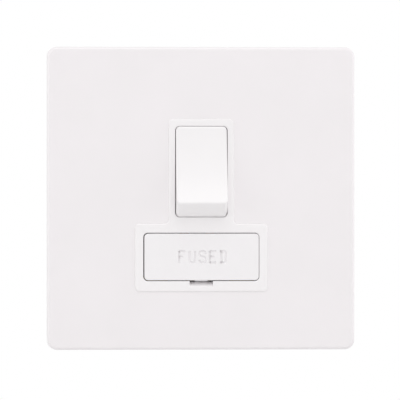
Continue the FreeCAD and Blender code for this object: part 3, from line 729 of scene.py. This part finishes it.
def letter_strokes():
    """The strokes of five letters, each letter in a box of one by one."""
    stem = [(0.0, 0.0), (0.0, 1.0)]
    top, low = [(0.0, 1.0), (1.0, 1.0)], [(0.0, 0.0), (1.0, 0.0)]
    short_bar, centre_bar = [(0.0, 0.52), (0.68, 0.52)], [(0.0, 0.52), (0.75, 0.52)]
    cup = [(0.05, 1.0), (0.05, 0.5), (0.05, 0.0), (0.93, 0.0), (0.93, 0.5), (0.93, 1.0)]
    snake = [(1.0, 0.78), (1.0, 1.0), (0.0, 1.0), (0.0, 0.52), (1.0, 0.52), (1.0, 0.0),
             (0.0, 0.0), (0.0, 0.22)]
    bowl = [(-0.02, 1.0), (0.5, 1.0), (1.0, 1.0), (1.0, 0.0), (0.5, 0.0), (-0.02, 0.0)]
    inner_stem = [(0.21, 0.0), (0.21, 1.0)]
    return [[stem, top, short_bar], [cup], [snake], [stem, top, centre_bar, low],
            [inner_stem, bowl]]


class DrawerOperator(bpy.types.Operator):
    """Dress the fuse drawer: soft edges and the engraved word on its face"""
    bl_idname = "spur_unit.drawer"
    bl_label = "Fuse drawer"

    def execute(self, context):
        letters, moulding = context.scene.spur_lettering, context.scene.spur_moulding
        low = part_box("fuse_carrier")[0]
        face = low.y + ON_FRONT
        drawer = copy_of("fuse_carrier", "drawer_carrier")
        self.sink_tongue(drawer, low, moulding.tongue_recess)
        border_front(drawer)
        moved(drawer, AXES["X"] * moulding.drawer_play)
        soften(drawer, moulding.insert_edge, segments=3,
               share_at=lambda place: 1.0 if place.y < face else 0.0)
        rows = [vertex.co.z for vertex in drawer.data.vertices if vertex.co.y < face]
        cut(drawer, self.word(letters, low.y, (min(rows) + max(rows)) / 2))
        # The drawer's finish carries its painted shade: a darker copy of the insert's white
        finish = gloss_moulding("drawer_gloss_painted_shade", moulding.drawer_tint_painted_shade)
        finish_piece(shade(drawer, above=18), "fuse_drawer", "drawer", finish, "fuse_carrier")
        return {"FINISHED"}

    def word(self, letters, front, centre_z):
        """The word as beads that reach into the face by the groove's depth."""
        radius = (letters.stroke ** 2 / 4 + letters.depth ** 2) / (2 * letters.depth)
        bead_y = front - radius + letters.depth
        word = letter_strokes()
        across, up = letters.width - letters.stroke, letters.height - letters.stroke
        start = letters.shift - (letters.pitch * (len(word) - 1) + across) / 2
        beads = []
        for number, strokes in enumerate(word):
            left = start + number * letters.pitch
            for points in strokes:
                places = [(left + x * across, bead_y, centre_z + (z - 0.5) * up) for x, z in points]
                beads.append(bead("letter_stroke", places, radius))
        return join(*beads)

    def sink_tongue(self, drawer, low, depth):
        """Puts the latch tongue's front further back, where the notch leaves it in shade."""
        half, top = 2.1 * MM, low.z + 0.35 * MM
        nearest, farthest = low.y + 0.5 * MM, low.y + 1.5 * MM
        push(drawer, AXES["Y"] * depth, {
            vertex.index for vertex in drawer.data.vertices
            if abs(vertex.co.x) < half and vertex.co.z < top
            and nearest < vertex.co.y < farthest})


class HousingOperator(bpy.types.Operator):
    """Dress the rear housing: soft edges and plain raised marks beside the terminals"""
    bl_idname = "spur_unit.housing"
    bl_label = "Rear housing"

    def execute(self, context):
        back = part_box("rear_housing")[1].y
        housing = soften(copy_of("rear_housing", "housing_block"), HOUSING_EDGE)
        finish = dull_moulding()
        finish_piece(shade(housing), "unit", "housing", finish, "rear_housing")
        letters = context.scene.spur_lettering
        size, inwards = letters.mark_height, 6.2 * MM
        strokes = []
        for name in terminals():
            place = middle(name + "_terminal")
            side = -1 if place.z > 0 else 1
            base = Vector((place.x, back, place.z + side * inwards))
            for points in self.mark(name):
                places = [base + Vector((-x * size, 0, (z - 0.5) * size)) for x, z in points]
                strokes.append(bead("mark_stroke", places, letters.mark_stroke / 2))
        marks = join(*strokes)
        marks.name = "terminal_marks"
        finish_piece(shade(marks, above=50), "unit", "housing", finish)
        return {"FINISHED"}

    def mark(self, name):
        """The strokes of a terminal's plain letter or earth sign, seen from behind."""
        if "earth" in name:
            return [[(0.0, 1.0), (0.0, 0.45)], [(-0.45, 0.45), (0.45, 0.45)],
                    [(-0.28, 0.24), (0.28, 0.24)], [(-0.12, 0.03), (0.12, 0.03)]]
        if "neutral" in name:
            return [[(-0.3, 0.0), (-0.3, 1.0)], [(-0.3, 1.0), (0.3, 0.0)], [(0.3, 0.0), (0.3, 1.0)]]
        return [[(-0.25, 0.0), (-0.25, 1.0)], [(-0.25, 0.0), (0.3, 0.0)]]


class FuseOperator(bpy.types.Operator):
    """Make the cartridge fuse: a fired tube and two plated caps with rolled mouths"""
    bl_idname = "spur_unit.fuse"
    bl_label = "Fuse"

    def execute(self, context):
        low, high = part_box("fuse_tube")
        radius, half = (high.z - low.z) / 2, (high.x - low.x) / 2
        rim = 0.3 * MM
        tube = lathe("fuse_barrel", [
            (0, -half), (radius - rim, -half), (radius, rim - half), (radius, half - rim),
            (radius - rim, half), (0, half)], "X", steps=64)
        moved(tube, middle("fuse_tube"))
        finish_piece(shade(tube), "fuse_drawer", "ceramic", glazed_tube(), "fuse_tube")
        finish = plated_cap()
        for node, side in (("fuse_cap_left", -1), ("fuse_cap_right", 1)):
            cap = self.cap(node, side, radius)
            finish_piece(cap, "fuse_drawer", "plated_cap", finish, node)
        return {"FINISHED"}

    def cap(self, node, side, bore):
        """One cap: a cup with a rolled mouth, a crimped waist and a dimple in its end."""
        low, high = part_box(node)
        outer, depth = (high.z - low.z) / 2, high.x - low.x
        round_end, wall, dimple, lip = 0.5 * MM, outer - bore, 0.25 * MM, 0.1 * MM
        inner, waist = bore + 0.02 * MM, outer - 0.12 * MM
        profile = [
            (0, depth - dimple), (0.9 * MM, depth - dimple), (1.2 * MM, depth - 0.03 * MM),
            (outer - round_end, depth), (outer - 0.3 * round_end, depth - 0.3 * round_end),
            (outer, depth - round_end), (outer, 2.3 * MM), (waist, 2.0 * MM), (waist, 1.7 * MM),
            (outer, 1.4 * MM), (outer, lip), (outer - 0.5 * wall, 0), (inner, lip),
            (inner, depth - round_end), (0, depth - round_end)]
        cap = lathe(node.removeprefix("fuse_"), [(r, side * x) for r, x in profile], "X", steps=64)
        mouth = high.x if side < 0 else low.x
        place = middle(node)
        moved(cap, Vector((mouth, place.y, place.z)))
        return shade(cap, above=50)


class ClipsOperator(bpy.types.Operator):
    """Dress the two sprung clips that hold the fuse"""
    bl_idname = "spur_unit.clips"
    bl_label = "Fuse clips"

    def execute(self, context):
        finish = sprung_bronze()
        for node in ("line_fuse_clip", "load_fuse_clip"):
            clip = copy_of(node, node.replace("_fuse_clip", "_spring_clip"))
            soften(clip, CLIP_EDGE, segments=3, above=20)
            finish_piece(shade(clip), "unit", "clip", finish, node)
        return {"FINISHED"}


class PlungersOperator(bpy.types.Operator):
    """Make the round-nosed plungers and their coiled springs"""
    bl_idname = "spur_unit.plungers"
    bl_label = "Plungers and springs"

    def execute(self, context):
        sizes = context.scene.spur_switch
        hinge = joint("rocker_hinge")
        pivot = Vector(hinge["pos_m"])
        tilt = -math.radians(hinge["range_deg"][1]) / 2
        nylon, wire_finish = natural_nylon(), spring_steel()
        for pole in POLES:
            x = joint(pole + "_arm_tilt")["pos_m"][0]
            base = Vector((x, pivot.y + sizes.pin_reach - sizes.pin_length, pivot.z))
            pin = self.pin(sizes, pole + "_pin")
            turned(moved(pin, base), pivot, tilt)
            finish_piece(shade(pin), "rocker", "plunger", nylon, pole + "_plunger")
            spring = self.spring(sizes, pole + "_coil")
            start = pivot.y + sizes.socket_reach - sizes.socket_depth + sizes.wire / 2
            turned(moved(spring, Vector((x, start, pivot.z))), pivot, tilt)
            finish_piece(shade(spring, above=60), "rocker", "spring", wire_finish,
                         pole + "_plunger_spring")
        return {"FINISHED"}

    def pin(self, sizes, name):
        """A pin with a domed nose and a chamfered tail."""
        radius, reach, nose, edge = sizes.pin_radius, sizes.pin_length, 0.9 * MM, 0.2 * MM
        dome = [(radius * math.cos(angle), reach - nose + nose * math.sin(angle))
                for angle in map(math.radians, range(0, 91, 15))]
        dome[-1] = (0, reach)
        return lathe(name, [(0, 0), (radius - edge, 0), (radius, edge)] + dome, steps=40)

    def spring(self, sizes, name):
        """A coil that fills the socket behind the pin."""
        back = sizes.pin_reach - sizes.pin_length - sizes.socket_reach + sizes.socket_depth
        span = back - sizes.wire
        return coil(name, sizes.pin_radius - sizes.wire / 2, span / sizes.turns, sizes.turns,
                    steps=28, sides=10, size=sizes.wire / 2)


class ContactsOperator(bpy.types.Operator):
    """Dress the rocking contacts and make their domed silver tips"""
    bl_idname = "spur_unit.contacts"
    bl_label = "Contacts"

    def execute(self, context):
        sizes = context.scene.spur_switch
        copper, silver = contact_copper(), soft_silver()
        for pole in POLES:
            swing = joint(pole + "_arm_tilt")
            pivot = Vector(swing["pos_m"])
            tilt = -math.radians(swing["range_deg"][0])
            body = pole + "_rocker_arm"
            arm = copy_of(pole + "_rocking_contact", pole + "_arm")
            soften(arm, STAMPED_EDGE, above=30)
            finish_piece(shade(arm), body, "contact_arm", copper, pole + "_rocking_contact")
            low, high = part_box(pole + "_fixed_tip")
            fixed = self.tip(pole + "_fixed_stud", low, high, 1)
            finish_piece(fixed, "unit", "silver", silver, pole + "_fixed_tip")
            thick = high.y - low.y
            near = Vector((low.x, low.y - sizes.tip_gap - thick, low.z))
            far = Vector((high.x, low.y - sizes.tip_gap, high.z))
            moving = turned(self.tip(pole + "_moving_stud", near, far, -1), pivot, tilt)
            finish_piece(moving, body, "silver", silver, pole + "_moving_tip")
        return {"FINISHED"}

    def tip(self, name, low, high, side):
        """A domed silver stud in a box, its dome to the front for 1 or to the back for -1."""
        radius, thick = (high.x - low.x) / 2, high.y - low.y
        rise = 0.3 * thick
        profile = [(0, 0), (0.55 * radius, 0.08 * rise), (0.85 * radius, 0.5 * rise),
                   (radius, rise), (radius, thick), (0, thick)]
        if side < 0:
            profile = [(r, thick - y) for r, y in profile]
        stud = moved(lathe(name, profile, steps=40), front_middle(low, high))
        return shade(stud, above=40)


class StrapsOperator(bpy.types.Operator):
    """Dress the stamped straps and centre contacts"""
    bl_idname = "spur_unit.straps"
    bl_label = "Straps"

    def execute(self, context):
        finish = rolled_copper()
        for node in ("supply_live_strap", "supply_neutral_strap", "live_centre_contact",
                     "neutral_centre_contact", "load_live_strap", "earth_strap"):
            strap = soften(copy_of(node, node + "_stamping"), STAMPED_EDGE)
            finish_piece(shade(strap), "unit", "strap", finish, node)
        return {"FINISHED"}


class TerminalsOperator(bpy.types.Operator):
    """Dress the terminal blocks and make their threaded, slotted clamping screws"""
    bl_idname = "spur_unit.terminals"
    bl_label = "Terminals"

    def execute(self, context):
        brass, zinc = turned_brass(), zinc_steel()
        master = self.screw(context.scene.spur_screws, *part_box(terminals()[0] + "_screw"))
        for name in terminals():
            body = soften(copy_of(name + "_terminal", name + "_block"), BLOCK_EDGE)
            finish_piece(shade(body), "unit", "terminal", brass, name + "_terminal")
            screw = twin(master, name + "_grub_screw")
            moved(screw, front_middle(*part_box(name + "_screw")))
            finish_piece(screw, "unit", "screw", zinc, name + "_screw")
        bpy.data.objects.remove(master)
        return {"FINISHED"}

    def screw(self, sizes, low, high):
        """A grub screw from the origin towards the back: a plain slotted end above a thread."""
        radius, reach = (high.x - low.x) / 2, high.y - low.y
        root = radius - sizes.thread_depth
        plain, edge = sizes.slot_depth + 0.25 * MM, 0.2 * MM
        core = lathe("grub_screw", [
            (0, 0), (root - edge, 0), (root, edge), (root, reach - plain),
            (radius, reach - plain + edge), (radius, reach - edge), (radius - edge, reach),
            (0, reach)])
        cut(core, block("slot", (-2 * radius, reach - sizes.slot_depth, -sizes.slot / 2),
                        (2 * radius, reach + MM, sizes.slot / 2)))
        return threaded(core, root, edge, reach - plain, sizes.terminal_pitch,
                        sizes.thread_depth, lead=0.2 * MM, flat=0.9)


class HousingScrewsOperator(bpy.types.Operator):
    """Make the cheese-head screws that hold the rear housing, with threads and cross recesses"""
    bl_idname = "spur_unit.housing_screws"
    bl_label = "Housing screws"

    def execute(self, context):
        zinc = zinc_steel()
        for name in sorted(node for node in frame["nodes"] if node.startswith("assembly_screw")):
            low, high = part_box(name)
            screw = self.screw(context.scene.spur_screws, low, high)
            screw.name = name.replace("assembly_screw", "housing_screw")
            moved(screw, front_middle(low, high))
            finish_piece(screw, "unit", "screw", zinc, name)
        return {"FINISHED"}

    def screw(self, sizes, low, high):
        """A screw from its tip at the origin towards the back."""
        head, reach = (high.x - low.x) / 2, high.y - low.y
        crest, edge = 1.4 * MM, 0.3 * MM
        root = crest - sizes.thread_depth
        under = reach - 1.6 * MM
        plain = under - MM
        body = lathe("housing_screw", [
            (0, 0), (root - edge, 0), (root, edge), (root, plain), (crest, plain), (crest, under),
            (head, under), (head, reach - edge), (head - 0.3 * edge, reach - 0.3 * edge),
            (head - edge, reach), (0, reach)], steps=56)
        arm, half = 1.35 * MM, sizes.slot / 2
        deep = reach - sizes.slot_depth
        cut(body, block("cross", (-arm, deep, -half), (arm, reach + MM, half)),
            block("cross", (-half, deep, -arm), (half, reach + MM, arm)))
        return threaded(body, root, edge, plain, sizes.assembly_pitch, sizes.thread_depth,
                        lead=0.3 * MM, flat=1.2)


# Studio

class StudioOperator(bpy.types.Operator):
    """Set the camera, the pale floor, the white background and the soft lights"""
    bl_idname = "spur_unit.studio"
    bl_label = "Studio"

    def execute(self, context):
        studio = context.scene.spur_studio
        centre = front_middle(*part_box("cover_plate"))
        context.scene.view_settings.view_transform = "Standard"
        self.camera(context, studio, centre)
        self.background(context, studio)
        if studio.show_floor:
            self.floor(studio, centre)
        place, size = centre + Vector((0.05, -0.6, 0.85)), 0.9
        self.lamp("key_lamp", place, centre, size, studio.key)
        for side in (-1, 1):
            place, size = centre + Vector((side * 0.92, -0.22, 0.05)), 0.7
            self.lamp("side_lamp", place, centre, size, studio.side)
        return {"FINISHED"}

    def camera(self, context, studio, centre):
        """A long lens, level with the plate and a little to its left."""
        turn = studio.azimuth
        back = Vector((math.sin(turn), -math.cos(turn), 0))
        right = Vector((math.cos(turn), math.sin(turn), 0))
        aim = centre - right * studio.aim_left - AXES["Z"] * studio.aim_down
        pick()
        bpy.ops.object.camera_add(location=aim + back * studio.distance,
                                  rotation=(math.pi / 2, 0, turn))
        camera = context.object
        camera.data.sensor_width = sensor = 36.0
        camera.data.lens = studio.distance * sensor / studio.framed
        camera.data.clip_start, camera.data.clip_end = 0.05, 20.0
        context.scene.camera = camera

    def background(self, context, studio):
        """White where it is seen, and softer as light."""
        world = bpy.data.worlds.new("studio_world")
        context.scene.world = world
        world.use_nodes = True
        tree = world.node_tree
        light = tree.nodes["Background"]
        light.inputs["Color"].default_value = WHITE
        light.inputs["Strength"].default_value = studio.sky
        seen = add_node(tree, "Background", {"Color": WHITE, "Strength": 1.0})
        path = add_node(tree, "LightPath")
        share_seen = path.outputs["Is Camera Ray"]
        for name in ("Is Glossy Ray", "Is Transmission Ray"):
            either = add_node(tree, "Math", links={0: share_seen, 1: path.outputs[name]})
            either.operation = "MAXIMUM"
            share_seen = either.outputs["Value"]
        mix = add_node(tree, "MixShader", links={
            0: share_seen, 1: light.outputs["Background"], 2: seen.outputs["Background"]})
        tree.links.new(mix.outputs["Shader"], tree.nodes["World Output"].inputs["Surface"])

    def floor(self, studio, centre):
        """A pale sheet under the unit, below the picture, that goes over into white round it."""
        wide, deep, forward = 1.2, 0.78, 0.06
        pick()
        bpy.ops.mesh.primitive_plane_add(
            size=1.0, location=(0, -forward, centre.z - studio.floor_drop))
        sheet = bpy.context.object
        sheet.name = "floor_sheet"
        sheet.scale = (wide, deep, 1.0)
        settle(sheet)
        paper = Finish("floor_paper")
        paper.tinted(paper.noise(60 * MM), (0.95, 0.95, 0.95), (0.93, 0.93, 0.93))
        paper.worn(paper.noise(12 * MM), 0.8, 0.95)
        self.fade(paper, studio)
        sheet.data.materials.append(paper.material)

    def fade(self, paper, studio):
        """Far from the unit, what the camera sees of the sheet is the background's white."""
        tree, paper_only = paper.tree, 0.4 * studio.floor_reach
        flat = add_node(tree, "Mapping", {"Scale": (1.0, 1.0, 0.0)}, {"Vector": paper.place})
        away = add_node(tree, "VectorMath", links={0: flat.outputs["Vector"]})
        away.operation = "LENGTH"
        spread = add_node(tree, "MapRange", {
            "From Min": paper_only, "From Max": studio.floor_reach},
            {"Value": away.outputs["Value"]})
        spread.interpolation_type = "SMOOTHSTEP"
        path = add_node(tree, "LightPath")
        seen = add_node(tree, "Math", links={
            0: spread.outputs["Result"], 1: path.outputs["Is Camera Ray"]})
        seen.operation = "MULTIPLY"
        white = add_node(tree, "Emission", {"Color": WHITE, "Strength": 1.0})
        mix = add_node(tree, "MixShader", links={
            0: seen.outputs["Value"], 1: paper.shader.outputs["BSDF"],
            2: white.outputs["Emission"]})
        tree.links.new(mix.outputs["Shader"], tree.nodes["Material Output"].inputs["Surface"])

    def lamp(self, name, place, target, size, power):
        """A soft square lamp that faces a point."""
        pick()
        bpy.ops.object.light_add(type="AREA", location=place)
        lamp = bpy.context.object
        lamp.name = name
        lamp.data.shape = "SQUARE"
        lamp.data.size = size
        lamp.data.energy = power
        lamp.rotation_euler = (target - place).to_track_quat("-Z", "Y").to_euler()


SETTINGS = {
    "spur_plate": PlateSettings, "spur_moulding": MouldingSettings,
    "spur_lettering": LetteringSettings, "spur_switch": SwitchSettings,
    "spur_screws": ScrewSettings, "spur_studio": StudioSettings,
}
OPERATORS = (
    CoverPlateOperator, FrontMouldingOperator, RockerOperator, DrawerOperator, HousingOperator,
    FuseOperator, ClipsOperator, PlungersOperator, ContactsOperator, StrapsOperator,
    TerminalsOperator, HousingScrewsOperator, StudioOperator,
)


class SpurUnitPanel(bpy.types.Panel):
    """Lists the unit's pieces and their settings"""
    bl_idname = "VIEW3D_PT_spur_unit"
    bl_label = "Fused spur unit"
    bl_space_type = "VIEW_3D"
    bl_region_type = "UI"
    bl_category = "Spur unit"

    def draw(self, context):
        for name, group in SETTINGS.items():
            box = self.layout.box()
            box.label(text=group.__doc__)
            for setting in group.__annotations__:
                box.prop(getattr(context.scene, name), setting)
        for operator in OPERATORS:
            self.layout.operator(operator.bl_idname)


def register():
    for group in (*SETTINGS.values(), *OPERATORS, SpurUnitPanel):
        bpy.utils.register_class(group)
    for name, group in SETTINGS.items():
        setattr(bpy.types.Scene, name, PointerProperty(type=group))


def unregister():
    for name in SETTINGS:
        delattr(bpy.types.Scene, name)
    for group in reversed((*SETTINGS.values(), *OPERATORS, SpurUnitPanel)):
        bpy.utils.unregister_class(group)


def main():
    """Registers the classes and makes every piece in order."""
    register()
    bpy.ops.spur_unit.cover_plate()
    bpy.ops.spur_unit.front_moulding()
    bpy.ops.spur_unit.rocker()
    bpy.ops.spur_unit.drawer()
    bpy.ops.spur_unit.housing()
    bpy.ops.spur_unit.fuse()
    bpy.ops.spur_unit.clips()
    bpy.ops.spur_unit.plungers()
    bpy.ops.spur_unit.contacts()
    bpy.ops.spur_unit.straps()
    bpy.ops.spur_unit.terminals()
    bpy.ops.spur_unit.housing_screws()
    bpy.ops.spur_unit.studio()


if __name__ == "__main__":
    main()
